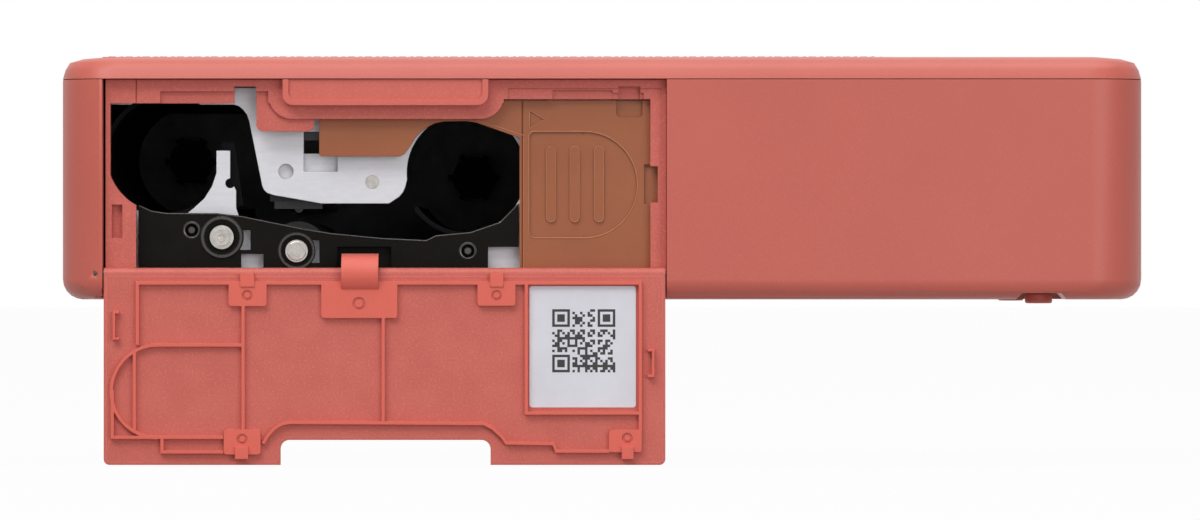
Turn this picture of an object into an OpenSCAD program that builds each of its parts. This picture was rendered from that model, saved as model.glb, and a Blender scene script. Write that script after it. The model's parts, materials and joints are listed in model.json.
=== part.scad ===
// Compact dye-sublimation photo printer, cassette side towards -Y, paper slot towards -X.
// Origin: centre of the flat underside. X runs front to rear, Y across, Z up. Millimetres.
// The cassette door is drawn open, hanging from its hinge on the -Y side.

/* [Body] */
// Length of the body, front to rear
body_l = 145.8; // [143:0.2:150]
// Width of the body
body_w = 102.2; // [101:0.2:106]
// Height of the body above its underside
body_h = 32.6; // [32:0.1:35]
// Wall of the casings
wall = 1.6; // [1.2:0.1:1.9]
// Plan radius of the four upright corners
corner_r = 7.2; // [5:0.1:9]
// Radius of the bottom edge
bottom_r = 2.7; // [1.5:0.1:3]
// Height of the seam under the top cover
seam_z = 29.5; // [29:0.1:30]
// How far the front face bows out
front_bow = 0.55; // [0.3:0.05:0.9]
// Height of the patterned field on the top
field_h = 0.12; // [0.08:0.02:0.3]
// Gap at a seam between casings
seam_gap = 0.1; // [0.05:0.01:0.15]

/* [Ink door] */
// Distance of the door's front edge from the body's front end
door_x0 = 6.45; // [5.9:0.05:6.9]
// Length of the door along X
door_l = 75.2; // [74:0.1:76]
// Height of the door from its hinge edge to its free edge
door_h = 26.4; // [25.8:0.1:26.8]
// Thickness of the door panel
door_t = 1.5; // [1.3:0.05:1.6]
// Height of the hinge axis
hinge_z = 3.5; // [3.3:0.05:3.8]
// Height of the ribs on the door's inner face
rib_h = 0.8; // [0.5:0.05:0.9]
// Width of those ribs
rib_t = 0.45; // [0.35:0.05:0.6]
// Radius of the hinge pins
pin_r = 0.35; // [0.25:0.05:0.4]
// Gap around the closed door
door_gap = 0.2; // [0.15:0.05:0.3]
// Thickness of the door label
label_t = 0.08; // [0.05:0.01:0.15]

/* [Front flap] */
// Width of the paper slot's flap
flap_w = 84; // [80:0.5:86]
// Height of the flap's top edge
flap_top = 16.8; // [16:0.1:18]
// Height of the flap's hinge axis
flap_z = 3.7; // [3.6:0.05:4]
// Thickness of the flap at its ends
flap_t = 1.4; // [1.2:0.05:1.6]

/* [Print engine] */
// Front face of the lower frame, measured along Y from the back of the ink bay
engine_y0 = 0.65; // [0.45:0.05:0.85]
// Thickness of the lower frame's end walls
frame_t = 1.8; // [1.5:0.1:2]
// Thickness of the sheet metal plates
plate_t = 1; // [0.8:0.1:1.2]
// Inner face of the far plate, measured in from the inside of the far wall
far_y = 13.5; // [12.5:0.1:14.5]
// Radius of the front spool chamber
spool_r_front = 7.7; // [7.5:0.05:7.8]
// Radius of the rear spool chamber
spool_r_rear = 8; // [7.8:0.05:8.1]
// Wall of the moulded cassette guide
guide_t = 0.6; // [0.5:0.05:0.7]
// Radius of the capstan
capstan_r = 1.6; // [1.5:0.05:1.65]
// Radius of the platen's rubber
platen_r = 4; // [3.8:0.05:4.05]
// Radius of the platen's shaft
platen_shaft_r = 1.5; // [1.3:0.05:1.6]
// Wall of the roller bushes
bush_t = 0.4; // [0.35:0.05:0.45]
// Radius of the pinch roller
pinch_r = 1; // [0.9:0.05:1.1]
// Radius of the pick-up roller
pickup_r = 3.2; // [3:0.1:3.4]
// Running clearance of shafts and gears on the radius
run_c = 0.05; // [0.03:0.01:0.08]

/* [Gears] */
// Teeth of the capstan gear
cap_teeth = 20; // [18:1:20]
// Teeth of the take-up gear
take_teeth = 24; // [24:1:26]
// Teeth of each idler
idler_teeth = 24; // [22:1:24]
// Teeth of the motor pinion
pinion_teeth = 10; // [9:1:12]
// Face width of the gears
gear_w = 3; // [2:0.2:3.6]

/* [Controls] */
// Radius of the power button
button_r = 4; // [3:0.1:5]
// Travel of the power button
button_travel = 0.4; // [0.2:0.05:0.5]
// Thickness of the eject lever
lever_t = 1.15; // [1:0.05:1.2]
// Travel of the eject lever
lever_travel = 3; // [2:0.1:3.2]

/* [Electronics] */
// Size of the battery
battery_size = [42, 50, 9]; // [5:1:60]
// Thickness of the circuit boards
board_t = 1.2; // [0.8:0.1:1.6]
// Height of the main board's underside
board_z = 20; // [19.5:0.1:21]

/* [Hidden] */
$fn = 48;
eps = 0.01;

coral = [0.78, 0.41, 0.36];
brown = [0.61, 0.37, 0.27];
black = [0.10, 0.10, 0.09];
metal = [0.80, 0.80, 0.82];

// Casing planes
side_y = -body_w / 2;
rear_x = body_l / 2;
front_x = -body_l / 2;
in_x = body_l / 2 - wall;
in_y = body_w / 2 - wall;
roof_z = body_h - wall;
// The door, the engine and the lever are drawn along X from the bay's datum, where the door begins
// at door_a
door_a = -66.45;
bay_x = front_x + door_x0 - door_a;

// Door
door_x1 = door_a + door_l;
door_in = side_y + door_t;
hinge_y = side_y + door_t / 2;
knuckle_r = door_t / 2;
door_z0 = hinge_z + knuckle_r - door_h;
bay_y = door_in + 0.25;
bay_t = 1.5;
bay_back = bay_y + bay_t;
engine_in = bay_back + engine_y0;
far_in = in_y - far_y;
notch_x0 = -42.8;
notch_x1 = -14.65;
notch_d = 3.35;
notch_r = 1.25;
arch_x0 = -34.6;
arch_x1 = -29.65;
arch_r = 2.65;
arch_t = 0.75;
tab_t = 0.35;
hook_h = 1;
hook_c = 0.12;
rib_x1 = door_x1 - 3.35;
// Hooks of the door: centre and width along X
hinge_hooks = [[-47.2, 1.9], [-13.8, 1.8]];
latch_hooks = [[-47.95, 1.8], [door_x1 - 5.05, 1.6]];

// Bay window and its surroundings
win_x0 = -62.2;
win_x1 = door_x1 - 2;
win_z0 = 3.95;
win_z1 = 26.3;
win_z2 = 26.85;
chamber_x0 = -65.65;
tab_x0 = -44.4;
tab_x1 = -12.9;
tab_z = 24.2;
step_x = door_x1 - 0.55;
step_z = 28.3;
step_t = 0.25;

// Spool chambers, rollers and head, as X and Z
spool_a = [-58.45, 19.35];
spool_b = [-18, 17.05];
capstan = [-50.8, 8.35];
platen = [-40.75, 6.5];
pickup = [-63.6, 6.4];
pinch = [capstan[0], capstan[1] + capstan_r + run_c + pinch_r];
pivot = [-30.65, 15.75];
pivot_r = 0.9;
frame_back = engine_in + frame_t;
plate_back = frame_back + plate_t;
far_back = far_in + plate_t;
roller_y = [plate_back + 2.9, far_in - 4.5];
head_y = [plate_back + 5, far_in - 6.6];
floor_z = wall;

// Gear train behind the far plate
gear_m = 2 * norm(spool_a - capstan) / (cap_teeth + take_teeth);
function step_to(from, d, a) = from + d * [cos(a), sin(a)];
function reach(a, b) = gear_m * (a + b) / 2;
ang_a = 25;
ang_b = -15;
ang_c = 25;
ang_p = 5;
idler_a = step_to(capstan, reach(cap_teeth, idler_teeth), ang_a);
idler_b = step_to(idler_a, reach(idler_teeth, idler_teeth), ang_b);
idler_c = step_to(idler_b, reach(idler_teeth, idler_teeth), ang_c);
pinion = step_to(idler_c, reach(idler_teeth, pinion_teeth), ang_p);
ang_t = atan2(spool_a[1] - capstan[1], spool_a[0] - capstan[0]);
// Turn of the gear that meshes with one of teeth n turned by t, seen along the angle a
function frac(v) = v - floor(v);
function meshed(n, t, a, n2) = a + 180 + (frac((a - t) * n / 360) + 0.5) * 360 / n2;
turn_a = meshed(cap_teeth, 0, ang_a, idler_teeth);
turn_b = meshed(idler_teeth, turn_a, ang_b, idler_teeth);
turn_c = meshed(idler_teeth, turn_b, ang_c, idler_teeth);
turn_p = meshed(idler_teeth, turn_c, ang_p, pinion_teeth);
turn_t = meshed(cap_teeth, 0, ang_t, take_teeth);
gear_y = far_back + 0.6;
gear_bore = 1.5;

// Front flap
flap_pin_r = 0.35;
flap_x = front_x + front_bow + flap_t / 2;
flap_y = flap_w / 2;
flap_barrel = 1.2;

// Controls
button_at = [rear_x - 12.9, -side_y - 15.1];
lens_at = [rear_x - 12.9, -side_y - 24.1];
button_board_z = 27.2;
switch_h = 1.3;
lever_y = bay_back + 0.1;
lever_back = lever_y + lever_t;

// Feet, bosses and boards
foot_at = [rear_x - 13.7, -side_y - 10.1];
foot_r = 1.85;
foot_drop = 0.55;
recess_h = 0.85;
boss_at = [rear_x - 4.7, -side_y - 5.7];
boss_r = 2.2;
screw_r = 1;
screw_c = 0.05;
board_x = [bay_x + door_x1 + 4.45, rear_x - 7.3];
board_y = [side_y + 4.5, -side_y - 6.1];
post_x = [board_x[0] + 2.8, board_x[1] - 3.6];
post_y = [board_y[0] + 2.4, board_y[1] - 3];
guide_y = [plate_back + 3.4, far_in - 5];
battery_at = [rear_x - 52.9, side_y + 11.1];
guide_x1 = in_x - 0.3;
paper_z = [6.2, 8];
usb_y = -side_y - 25.1;

// ---- helpers ----

// Extrudes a drawing made in X and Z from y0 to y1
module xz(y0, y1) translate([0, y1, 0]) rotate([90, 0, 0]) linear_extrude(y1 - y0) children();
// Round bar along Y at the place p = [x, z]
module bar_y(p, r, y0, y1) translate([p[0], y0, p[1]]) rotate([-90, 0, 0]) cylinder(r = r, h = y1 - y0);
// Round bar along X at y and z
module bar_x(y, z, r, x0, x1) translate([x0, y, z]) rotate([0, 90, 0]) cylinder(r = r, h = x1 - x0);
module block(a, b) translate(a) cube(b - a);
module in_bay() translate([bay_x, 0, 0]) children();
// Rectangle in a drawing, from one corner to the other
module rect(a, b) translate(a) square(b - a);
// Rectangle whose lower corners are rounded
module tongue(a, b, r) {
    rect([a[0], a[1] + r], b);
    rect([a[0] + r, a[1]], [b[0] - r, b[1]]);
    for (x = [a[0] + r, b[0] - r]) translate([x, a[1] + r]) circle(r = r);
}
// Rectangle rounded at all four corners
module pill(a, b, r) {
    tongue(a, [b[0], b[1] - r], r);
    translate([0, a[1] + b[1]]) mirror([0, 1]) tongue(a, [b[0], b[1] - r], r);
}

// Plan of the body, inset by d: rounded corners and a bowed front
function corner(cx, cy, r, a0) = [for (i = [0:6]) [cx + r * cos(a0 + i * 15), cy + r * sin(a0 + i * 15)]];
function plan(d) = let (r = corner_r - d, x = body_l / 2 - corner_r, y = body_w / 2 - corner_r,
    b = front_bow)
    concat(corner(x, y, r, 0), corner(b - x, y, r, 90),
        [for (i = [1:5]) let (v = 1 - i / 3) [d - body_l / 2 + b * v * v, y * v]],
        corner(b - x, -y, r, 180), corner(x, -y, r, 270));
module slice(d, z, h = eps) translate([0, 0, z]) linear_extrude(h) polygon(plan(d));

module outer_tub() hull() {
    for (a = [0:18:72]) slice(bottom_r * (1 - sin(a)), bottom_r * (1 - cos(a)));
    slice(0, bottom_r, seam_z - bottom_r);
}
module inner_tub() hull() {
    slice(wall + bottom_r / 3, floor_z);
    slice(wall, floor_z + bottom_r / 3, seam_z - floor_z);
}

module gear_shape(n, turn) {
    r = gear_m * n / 2;
    root = r - 1.15 * gear_m;
    tip = r + 0.9 * gear_m;
    polygon([for (i = [0:n - 1]) for (c = [[root, -0.31], [tip, -0.12], [tip, 0.12], [root, 0.31]])
        let (a = turn + (i + c[1]) * 360 / n) c[0] * [cos(a), sin(a)]]);
}
module gear(p, n, turn, y0, bore) difference() {
    translate([p[0], 0, p[1]]) xz(y0, y0 + gear_w) gear_shape(n, turn);
    bar_y(p, bore, y0 - 1, y0 + gear_w + 1);
}

// ---- casings ----

module cover_skin() hull() {
    slice(0, seam_z + seam_gap);
    slice(0.35, seam_z + 1.3);
    slice(0.95, body_h - 0.8);
    slice(2.7, body_h - 0.3);
    slice(6, body_h - eps);
}
module cover_hollow() hull() {
    slice(wall, seam_z - 1);
    slice(wall + 0.6, roof_z - 0.8);
    slice(wall + 4, roof_z);
}
module at_bosses() for (sx = [-1, 1]) for (sy = [-1, 1])
    translate([sx * boss_at[0], sy * boss_at[1], 0]) children();
module at_button_posts() for (dx = [-6.2, 6.2])
    translate([button_at[0] + dx, button_at[1] - 4.5, button_board_z + board_t]) children();

module top_cover() color(coral) difference() {
    union() {
        difference() {
            cover_skin();
            cover_hollow();
        }
        block([front_x + 6, side_y + 6, body_h - 1], [39.5, -side_y - 6, body_h + field_h]);
        at_bosses() translate([0, 0, seam_z + seam_gap]) cylinder(r = boss_r, h = roof_z - seam_z);
        at_button_posts() cylinder(r = 1, h = roof_z - button_board_z - board_t + 0.3);
    }
    at_bosses() cylinder(r = screw_r + screw_c, h = roof_z - 0.4);
    translate([button_at[0], button_at[1], 0]) cylinder(r = button_r + run_c, h = 2 * body_h);
    translate([lens_at[0], lens_at[1], 0]) cylinder(r = 0.8 + screw_c, h = 2 * body_h);
}

module bottom_case() color(coral) difference() {
    union() {
        difference() {
            outer_tub();
            inner_tub();
            in_bay() block([door_a - door_gap, side_y - 1, -1], [door_x1 + door_gap, bay_y, seam_z + 1]);
        }
        // lip under the door
        in_bay() block([door_a - door_gap - 1, bay_y, 0.2], [door_x1 + door_gap + 1, bay_back,
            hinge_z - 0.5]);
        // strips beside the door, behind the side wall
        in_bay() block([door_a - 3, in_y * -1 - eps, floor_z - eps], [door_a - door_gap, bay_back, seam_z]);
        in_bay() block([door_x1 + door_gap, in_y * -1 - eps, floor_z - eps], [door_x1 + 3, bay_back,
            seam_z]);
        at_bosses() translate([0, 0, floor_z - eps]) cylinder(r = boss_r, h = seam_z - floor_z + eps);
        for (x = post_x) for (y = post_y) translate([x, y, floor_z - eps]) cylinder(r = 2,
            h = board_z - floor_z + eps);
        // lugs that carry the flap's pins
        for (s = [-1, 1]) block([in_x * -1 - eps, s * (flap_y + 1.3) - 1.2, flap_z - 1.5],
            [1.6 - in_x, s * (flap_y + 1.3) + 1.2, flap_z + 1.5]);
    }
    at_bosses() translate([0, 0, -1]) cylinder(r = screw_r + screw_c, h = 60);
    at_bosses() translate([0, 0, -1]) cylinder(r = 1.9, h = 2.2);
    for (x = post_x) for (y = post_y) translate([x, y, board_z - 6]) cylinder(r = screw_r + screw_c, h = 7);
    // hinge bores of the ink door
    in_bay() bar_x(hinge_y, hinge_z, pin_r + run_c, door_a - 1.4, door_x1 + 1.4);
    // room for the door's arched finger
    in_bay() intersection() {
        bar_x(hinge_y, hinge_z, arch_r + 0.2, arch_x0 - 0.25, arch_x1 + 0.25);
        block([-100, side_y - 2, -1], [100, bay_back + 1, hinge_z]);
    }
    // front paper slot with its flap's seat and bores
    block([front_x - 1, -flap_y - 0.15, flap_z - flap_barrel - 0.15], [1 - in_x, flap_y + 0.15,
        flap_top + 0.15]);
    translate([flap_x, 0, flap_z]) rotate([90, 0, 0]) cylinder(r = flap_pin_r + run_c, h = flap_w + 3,
        center = true);
    // rear paper slit and USB port
    block([in_x - 1, guide_y[0] + 1.2, paper_z[0] + 0.1], [rear_x + 1, guide_y[1] - 1.2, paper_z[1] - 0.1]);
    translate([rear_x + 1, usb_y, board_z + board_t + 1.7]) rotate([0, -90, 0]) rotate([0, 0, 90])
        linear_extrude(wall + 2) pill([-4.8, -1.95], [4.8, 1.95], 1.9);
    // foot recesses, open to the sides
    for (sx = [-1, 1]) for (s = [-1, 1]) translate([sx * foot_at[0], s * (body_w / 2 + 1), 0]) mirror([0,
        s > 0 ? 1 : 0])
        xz(0, body_w / 2 - foot_at[1] + 6) polygon([[-4.4, -1], [4.4, -1], [2.6, recess_h], [-2.6,
            recess_h]]);
}

module bay_window() {
    rect([win_x0, win_z0], [win_x1, win_z1]);
    rect([tab_x1, win_z0], [win_x1, win_z2]);
    rect([chamber_x0, spool_a[1] - 2.7], [win_x0 + 1, win_z1]);
    intersection() {
        translate(spool_a) circle(r = spool_r_front);
        rect([chamber_x0, 0], [win_x0 + 1, win_z1]);
    }
}

module bay_frame() in_bay() color(coral) difference() {
    union() {
        xz(bay_y, bay_back) difference() {
            rect([door_a - door_gap + run_c, hinge_z - 0.25], [door_x1 + door_gap - run_c, seam_z]);
            bay_window();
        }
        xz(bay_y, bay_back) intersection() {
            tongue([tab_x0, tab_z], [tab_x1, seam_z - 1], 3.1);
            rect([tab_x0, tab_z], [tab_x1, seam_z]);
        }
        xz(bay_y + 0.7, bay_back) tongue([-46.1, 22.55], [-38.35, win_z1 + 0.5], 0.9);
        // raised plate that fills the notch of the closed door
        xz(side_y, bay_y + eps) difference() {
            tongue([notch_x0 + 0.3, 26], [notch_x1 - 0.3, seam_z], 1.4);
            tongue([notch_x0 + 1.1, 26.75], [notch_x1 - 1.1, seam_z + 1], 1);
        }
        xz(side_y + 0.4, bay_y + eps) tongue([notch_x0 + 1, 26.65], [notch_x1 - 1, seam_z], 1);
    }
    // slots for the latch hooks and the door's side tabs
    xz(bay_y - 1, bay_back + 1) rect([-49.05, win_z1 - 1], [-46.1 - eps, 28.55]);
    xz(bay_y - 1, bay_y + 1.25) rect([door_x1 - 6.25, win_z2 - 1], [door_x1 - 3.35, 28.55]);
    xz(bay_y - 1, bay_y + 1.15) rect([-65.45, 8.2], [-64.05, 12.7]);
    xz(bay_y - 1, bay_back + 1) rect([door_x1 - 2.85, 13], [door_x1 - 1, 17.85]);
    // shallow recesses and the parting groove of the upper ledge
    xz(bay_y - 1, bay_y + 0.7) rect([-58.95, win_z1 - 1], [tab_x0 - 0.1, 27.9]);
    xz(bay_y - 1, bay_y + 0.75) rect([-6.35, win_z2 - 1], [door_x1 - 7.1, 28.05]);
    xz(bay_y - 1, bay_y + 0.7) rect([door_x1 - 7.8, win_z2 - 1], [door_x1 - 2.9, 27.7]);
    xz(bay_y - 1, bay_y + step_t) rect([tab_x1 + 0.6, win_z2 - 1], [step_x, step_z]);
    xz(bay_y - 1, bay_y + step_t) rect([win_x1 - 1, hinge_z + knuckle_r + 1], [step_x, step_z]);
    xz(bay_y - 1, bay_y + 0.2) rect([-62.25, win_z1 - 1], [-62.1, seam_z + 1]);
    // relief for the door's hinge hooks and arched finger
    for (h = hinge_hooks) xz(bay_y - 1, door_in + hook_h + hook_c)
        rect([h[0] - h[1] / 2 - 0.4, 2], [h[0] + h[1] / 2 + 0.4, 6]);
    xz(bay_y - 1, bay_back + 1) rect([arch_x0 - 0.3, 2], [arch_x1 + 0.3, 6]);
    // clearance round the hinge edge of the closed door
    bar_x(hinge_y, hinge_z, knuckle_r + 0.2, door_a - 1, door_x1 + 1);
}

module door_outline() difference() {
    tongue([door_a, door_z0], [door_x1, hinge_z], 0.8);
    translate([0, 2 * door_z0]) mirror([0, 1])
        tongue([notch_x0, door_z0 - notch_d], [notch_x1, door_z0 + 1], notch_r);
}
// Rib of even width along the points p, mitred at its bends
module rib_path(p) {
    n = len(p) - 1;
    side = [for (i = [0:n - 1]) let (d = p[i + 1] - p[i]) [-d[1], d[0]] / norm(d)];
    off = [for (i = [0:n]) let (s = side[max(i - 1, 0)] + side[min(i, n - 1)]) s * rib_t / (s * s)];
    polygon(concat([for (i = [0:n]) p[i] + off[i]], [for (i = [n:-1:0]) p[i] - off[i]]));
}
module door_ribs() {
    rib_path([[-61.9, -6.1], [-61.9, 2.2], [rib_x1, 2.2], [rib_x1, -17.6]]);
    rib_path([[door_x1 - 7.45, -20.3], [-5.8, -20.3], [-6.2, -19.3], [-12.5, -19.2], [-13.15, -18.3],
        [-14.3, -17.25], [-15.55, -16.6], [-41.5, -16.45], [-42.55, -16.65], [-43.6, -17.25],
        [-44.4, -18.15], [-45.1, -19.3]]);
    rib_path([[-62.3, -17.7], [-62.3, -7.1]]);
    rib_path([[-47.75, 0], [-47.75, -17.4]]);
    rib_path([[-29, -2.3], [-29, -16.55]]);
    rib_path([[-9.85, 2.2], [-9.85, -15.2], [rib_x1, -15.2]]);
    rib_path([[-50.4, -18.45], [-65.25, -18.45], [-65.25, -12.1]]);
    rib_path([[-47.75, -6.1], [-60.2, -6.1]]);
    rib_path([[-58.6, -18.45], [-58.6, -20.4], [-50.4, -20.4]]);
    // the round end of the left-hand frame
    intersection() {
        translate([-59.2, -12.3]) difference() {
            circle(r = 6.2 + rib_t / 2);
            circle(r = 6.2 - rib_t / 2);
        }
        rect([-70, -20], [-59.2, -5]);
    }
}
// Hook on a block: n is the block's [x0, z0, x1, z1], h the hook's [centre, width]
module hook_block(n) xz(side_y - rib_h, side_y + eps) pill([n[0], n[1]], [n[2], n[3]], 0.4);

// Tab on the door's face, shaped as a bracket whose ends point to the side s
module side_tab(a, b, s) xz(side_y - 1.1, side_y + eps) difference() {
    rect(a, b);
    rect([a[0] + (s > 0 ? tab_t : -1), a[1] + tab_t], [b[0] - (s > 0 ? -1 : tab_t), b[1] - tab_t]);
}

module ink_door() in_bay() color(coral) difference() {
    union() {
        xz(side_y, door_in) door_outline();
        bar_x(hinge_y, hinge_z, knuckle_r, door_a, door_x1);
        xz(side_y - rib_h, side_y + eps) door_ribs();
        hook_block([-49.7, -0.9, -44.6, 2.4]);
        hook_block([-37.3, -2.5, -27.1, 2.35]);
        hook_block([-16.4, -0.85, -11.3, 2.35]);
        hook_block([-50.35, -20.75, -45.4, -17.4]);
        hook_block([door_x1 - 7.55, -20.45, door_x1 - 3.15, -17.4]);
        for (h = hinge_hooks)
            block([h[0] - h[1] / 2, side_y - hook_h, 1.7], [h[0] + h[1] / 2, side_y + eps, hinge_z]);
        for (h = latch_hooks) {
            block([h[0] - h[1] / 2, side_y - 1.3, -21.35], [h[0] + h[1] / 2, side_y + eps, -19.7]);
        }
        // side tabs
        side_tab([-65.2, -5.4], [-64.3, -1.55], 1);
        side_tab([door_x1 - 2.4, -10.4], [door_x1 - 1.45, -6.6], -1);
        // arched finger, a band about the hinge axis
        intersection() {
            difference() {
                bar_x(hinge_y, hinge_z, arch_r, arch_x0, arch_x1);
                bar_x(hinge_y, hinge_z, arch_r - arch_t, arch_x0 - 1, arch_x1 + 1);
            }
            block([-100, side_y - 5, 0], [100, hinge_y - 0.1, 20]);
        }
        block([arch_x0, side_y - 0.6, hinge_z - arch_r], [arch_x1, side_y + eps,
            hinge_z - arch_r + arch_t]);
    }
    bar_x(hinge_y, hinge_z, pin_r, door_a - 1, door_a + 4);
    bar_x(hinge_y, hinge_z, pin_r, door_x1 - 4, door_x1 + 1);
    // moulding gate marks on the hook blocks
    for (p = [[-47.2, 0.55, 0.7], [-32.25, -0.55, 0.85], [-13.85, 0.55, 0.7], [-47.9, -18.7, 0.7],
        [door_x1 - 5.1, -18.55, 0.7]])
        difference() {
            bar_y(p, p[2], side_y - 2, side_y - rib_h + 0.2);
            bar_y(p, p[2] - 0.3, side_y - 3, side_y - rib_h + 0.3);
        }
}

module door_label() in_bay() color([0.84, 0.84, 0.87])
    xz(side_y - label_t, side_y) pill([-9.45, -14.45], [door_x1 - 3.95, 1.8], 0.4);

module door_pins() in_bay() color(metal) {
    bar_x(hinge_y, hinge_z, pin_r, door_a - 1.3, door_a + 4);
    bar_x(hinge_y, hinge_z, pin_r, door_x1 - 4, door_x1 + 1.3);
}

module front_flap() color(coral) difference() {
    union() {
        intersection() {
            block([front_x - 1, -flap_y, flap_z], [flap_x + flap_t / 2, flap_y, flap_top]);
            outer_tub();
        }
        intersection() {
            translate([flap_x, 0, flap_z]) rotate([90, 0, 0]) cylinder(r = flap_barrel, h = flap_w,
                center = true);
            outer_tub();
        }
    }
    // finger groove along the upper edge
    translate([front_x - 2.2, 0, flap_top - 2.6]) rotate([90, 0, 0]) cylinder(r = 2.75, h = 76,
        center = true);
    for (s = [-1, 1]) translate([flap_x, s * flap_y, flap_z]) rotate([90, 0, 0])
        cylinder(r = flap_pin_r, h = 8, center = true);
}

module flap_pins() color(metal) for (s = [-1, 1])
    translate([flap_x, s * (flap_y - 1.35), flap_z]) rotate([90, 0, 0]) cylinder(r = flap_pin_r, h = 5.3,
        center = true);

module feet() color(coral) for (sx = [-1, 1]) for (sy = [-1, 1])
    translate([sx * foot_at[0], sy * foot_at[1], -foot_drop]) cylinder(r = foot_r,
        h = foot_drop + recess_h);

module case_screws() color(metal) at_bosses() {
    translate([0, 0, 0.25]) cylinder(r = 1.8, h = 0.95);
    translate([0, 0, 1.2]) cylinder(r = screw_r, h = roof_z - 2.2);
}

// ---- print engine ----

module rim() polygon([[win_x0 + 0.2, floor_z], [win_x0 + 0.2, 12.65], [-60.2, 11.85], [-58.15, 11.6],
    [-51.5, 11.6],
    [-48.15, 11.2], [-40.1, 9.55], [-36.1, 8.9], [-29.4, 8.25], [-23.35, 7.95], [-22, 8.65], [-17.35, 9.05],
    [-13.3, 10.4], [-10.95, 12.9], [-10.95, floor_z]]);
module cassette_hole() {
    polygon([[-58, win_z1 - 0.1], [-49.3, win_z1 - 0.1], [-48.6, 26], [-48, 25.5], [-47.5, 24.85],
        [-47.2, 24],
        [-45.45, 15.3], [-45.2, 14.7], [-44.75, 14.3], [-43.9, 14], [-40.1, 13.35], [-37.5, 12.88],
            [-28.4, 12.88],
        [-27, 13.8], [-26.5, 14.4], [-26.2, 15.1], [-25.6, 17.6], [-25.2, 19.7], [-24.25, 21.4], [-22.95,
            22.7],
        [-21, 23.7], [-17, 20], [-17.35, 8.8], [-22, 8.3], [-23.35, 7.6], [-29.4, 7.9], [-36.1, 8.5],
        [-40.1, 9.2], [-48.15, 10.8], [-51.5, 11.1], [-58, 11.1]]);
    rect([-66.1, spool_a[1]], [-57, win_z1 - 0.1]);
    translate(spool_a) circle(r = spool_r_front + guide_t);
    translate(spool_b) circle(r = spool_r_rear);
}
module shaft_holes() {
    translate(capstan) circle(r = capstan_r + bush_t);
    translate(platen) circle(r = platen_shaft_r + bush_t);
}

module near_plate() in_bay() color(metal) {
    xz(frame_back, plate_back) difference() {
        rect([-66, floor_z + 1.2], [door_x1 + 3.75, 28.5]);
        cassette_hole();
        shaft_holes();
        translate(pickup) circle(r = 1 + run_c);
        translate(pivot) circle(r = pivot_r);
        translate([-42.25, 17.2]) circle(r = 1);
        rect([-39.85, 17.2], [-35.3, 22.55]);
    }
    // pads that guide the eject lever
    for (z = [6, 24.6]) block([-6, lever_back + 0.05, z - 1], [2, frame_back + eps, z + 1]);
}

module far_plate() in_bay() color(metal) xz(far_in, far_back) difference() {
    rect([-67, floor_z + 1.2], [door_x1 + 3.25, 28.5]);
    shaft_holes();
    translate(pickup) circle(r = 1 + run_c);
    translate(pivot) circle(r = pivot_r);
    for (p = [spool_a, spool_b]) translate(p) circle(r = gear_bore + run_c);
    for (p = [idler_a, idler_b, idler_c]) translate(p) circle(r = 1.2);
    translate(pinion) circle(r = 1.6);
    for (dx = [-4, 4]) translate(pinion + [dx, 0]) circle(r = 0.8);
}

module lower_frame() in_bay() color(black) difference() {
    union() {
        xz(engine_in, frame_back) difference() {
            rim();
            shaft_holes();
            rect([-48.25, floor_z - 1], [-45.2, 6.1]);
            rect([-15.05, floor_z - 1], [-10.9, 7.05]);
            difference() {
                union() {
                    rect([-48.9, 6.65], [-46.95, 9.3]);
                    rect([-39.3, 4.9], [-37.7, 7.95]);
                }
                translate(capstan) circle(r = 2.9);
                translate(platen) circle(r = 2.3);
            }
        }
        block([win_x0 + 0.2, frame_back - eps, floor_z], [-10.95, far_back, floor_z + 1.2]);
    }
    block([platen[0] - platen_r - 0.4, frame_back + 1.2, floor_z - 1], [platen[0] + platen_r + 0.4,
        far_in - 1, 4]);
    block([-35.3, engine_in - 1, floor_z - 1], [-28.05, engine_in + 1.2, 7.05]);
    for (p = [[-54.85, 9.3], [-17.75, 6.5]]) bar_y(p, 0.9, engine_in - 1, engine_in + 1.3);
}

module cassette_guide() in_bay() color(black) difference() {
    y0 = plate_back + 0.1;
    union() {
        xz(y0, far_in) {
            rect([-64, win_z1], [-10, win_z1 + 0.8]);
            intersection() {
                translate(spool_a) difference() {
                    circle(r = spool_r_front + guide_t);
                    circle(r = spool_r_front);
                }
                union() {
                    rect([-70, 10], [-57, win_z1 + 0.8]);
                    rect([-57.1, 10], [-53, 14]);
                }
            }
            intersection() {
                translate(spool_b) difference() {
                    circle(r = spool_r_rear + guide_t);
                    circle(r = spool_r_rear);
                }
                polygon([spool_b, spool_b + [-14, -9.5], spool_b + [-9, -20], spool_b + [20, -20],
                    spool_b + [20, 20], spool_b + [0, 20]]);
            }
            rect([-18.6, spool_b[1] + spool_r_rear + 0.1], [-16.8, win_z1 + eps]);
        }
        xz(y0, y0 + 2.2) difference() {
            polygon([[-53.4, 12.6], [-48, 12.6], [-49.2, 21.1], [-51.9, 21.1], [-51.9, 15], [-53.4, 14]]);
            translate(spool_a) circle(r = spool_r_front);
        }
    }
    // notch for the brace's bent tab
    block([-41.3, y0 - 1, win_z1 - 1], [-33.7, plate_back + 1.2, win_z1 + 2]);
}

module ribbon_bracket() in_bay() color(metal) xz(frame_back, frame_back + 0.8) difference() {
    polygon([[-51.6, 20], [-49.75, 20], [-49.75, 16.2], [-48.95, 14.65], [-48.95, 12.25], [-48.6, 11.25],
        [-55.9, 11.25], [-54.6, 12.3], [-53.2, 13.6], [-52.2, 15.2], [-51.6, 17]]);
    translate([-49.75, 15.6]) circle(r = 0.65);
}

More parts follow.
